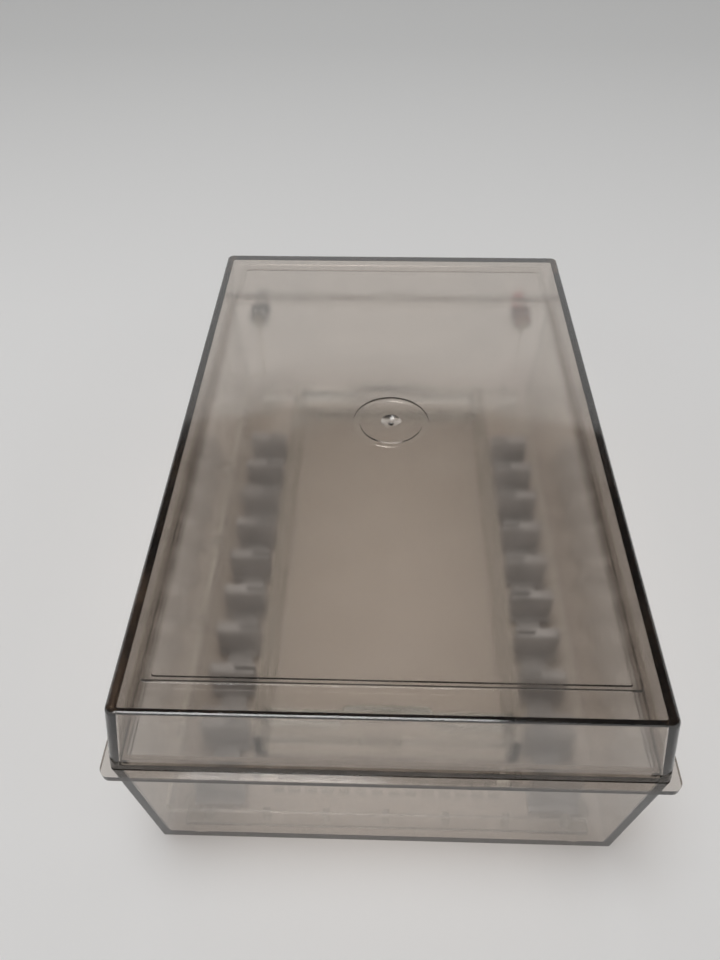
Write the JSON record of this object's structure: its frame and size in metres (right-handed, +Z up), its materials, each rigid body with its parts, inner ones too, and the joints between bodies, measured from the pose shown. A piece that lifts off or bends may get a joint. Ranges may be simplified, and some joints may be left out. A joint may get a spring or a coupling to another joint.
{
  "type": "gel electrophoresis tank",
  "caption": "Smoke-tinted horizontal gel electrophoresis tank with a lift-off lid, slotted comb racks, gel tray with gates, comb, wire electrodes and rear sockets.",
  "frame": {"origin": "centre of the whole outline, on the bench plane under the rubber feet", "axes": "+Z up, +Y towards the rear wall with the sockets, +X to the right seen from the front"},
  "size_m": [0.2152, 0.3412, 0.1125],
  "materials": {
    "case_smoke": "smoke-tinted, see-through, polished moulding",
    "lid_smoke": "smoke-tinted, see-through, polished moulding",
    "platform_smoke": "smoke-tinted, see-through, satin top",
    "rack_grey": "dark grey, dull, moulded",
    "clear_acrylic": "clear, polished faces, sawn edges",
    "seal_rubber": "soft black rubber",
    "white_nylon": "natural nylon",
    "platinum": "drawn bright wire",
    "lead_sleeve": "grey see-through sleeve",
    "red_plastic": "red tinted, see-through insulation",
    "black_plastic": "dark tinted, see-through insulation",
    "nickel_plate": "nickel plate on brass",
    "foot_silicone": "cloudy silicone rubber",
    "clear_silicone": "cloudy soft silicone strip"
  },
  "bodies": {
    "tank": {"tank_base": "case_smoke", "gel_platform": "platform_smoke", "left_comb_rack": "rack_grey", "right_comb_rack": "rack_grey", "front_electrode_holder": "clear_acrylic", "rear_electrode_holder": "clear_acrylic", "cathode_wire": "platinum", "anode_wire": "platinum", "cathode_lead": "lead_sleeve", "lead_clips": "clear_acrylic", "red_socket": "red_plastic", "black_socket": "black_plastic", "red_contact": "nickel_plate", "black_contact": "nickel_plate", "socket_seals": "seal_rubber", "socket_nuts": "clear_acrylic", "wire_tags": "nickel_plate", "stud_nuts": "nickel_plate", "rubber_feet": "foot_silicone"},
    "lid": {"lid": "lid_smoke"},
    "gel_tray": {"gel_tray": "clear_acrylic"},
    "front_gate": {"front_gate": "clear_acrylic", "front_gate_seal": "clear_silicone"},
    "rear_gate": {"rear_gate": "clear_acrylic", "rear_gate_seal": "clear_silicone"},
    "comb": {"comb": "clear_acrylic", "comb_bar": "clear_acrylic", "comb_screws": "white_nylon"}
  },
  "joints": [
    {"name": "lid_lift", "type": "slide", "parent": "tank", "child": "lid", "axis": [0, 0, 1], "range_m": [0, 0.12]},
    {"name": "tray_lift", "type": "slide", "parent": "tank", "child": "gel_tray", "axis": [0, 0, 1], "range_m": [0, 0.067]},
    {"name": "front_gate_lift", "type": "slide", "parent": "gel_tray", "child": "front_gate", "axis": [0, 0, 1], "range_m": [0, 0.024]},
    {"name": "rear_gate_lift", "type": "slide", "parent": "gel_tray", "child": "rear_gate", "axis": [0, 0, 1], "range_m": [0, 0.024]},
    {"name": "comb_lift", "type": "slide", "parent": "tank", "child": "comb", "axis": [0, 0, 1], "range_m": [0, 0.075]}
  ]
}
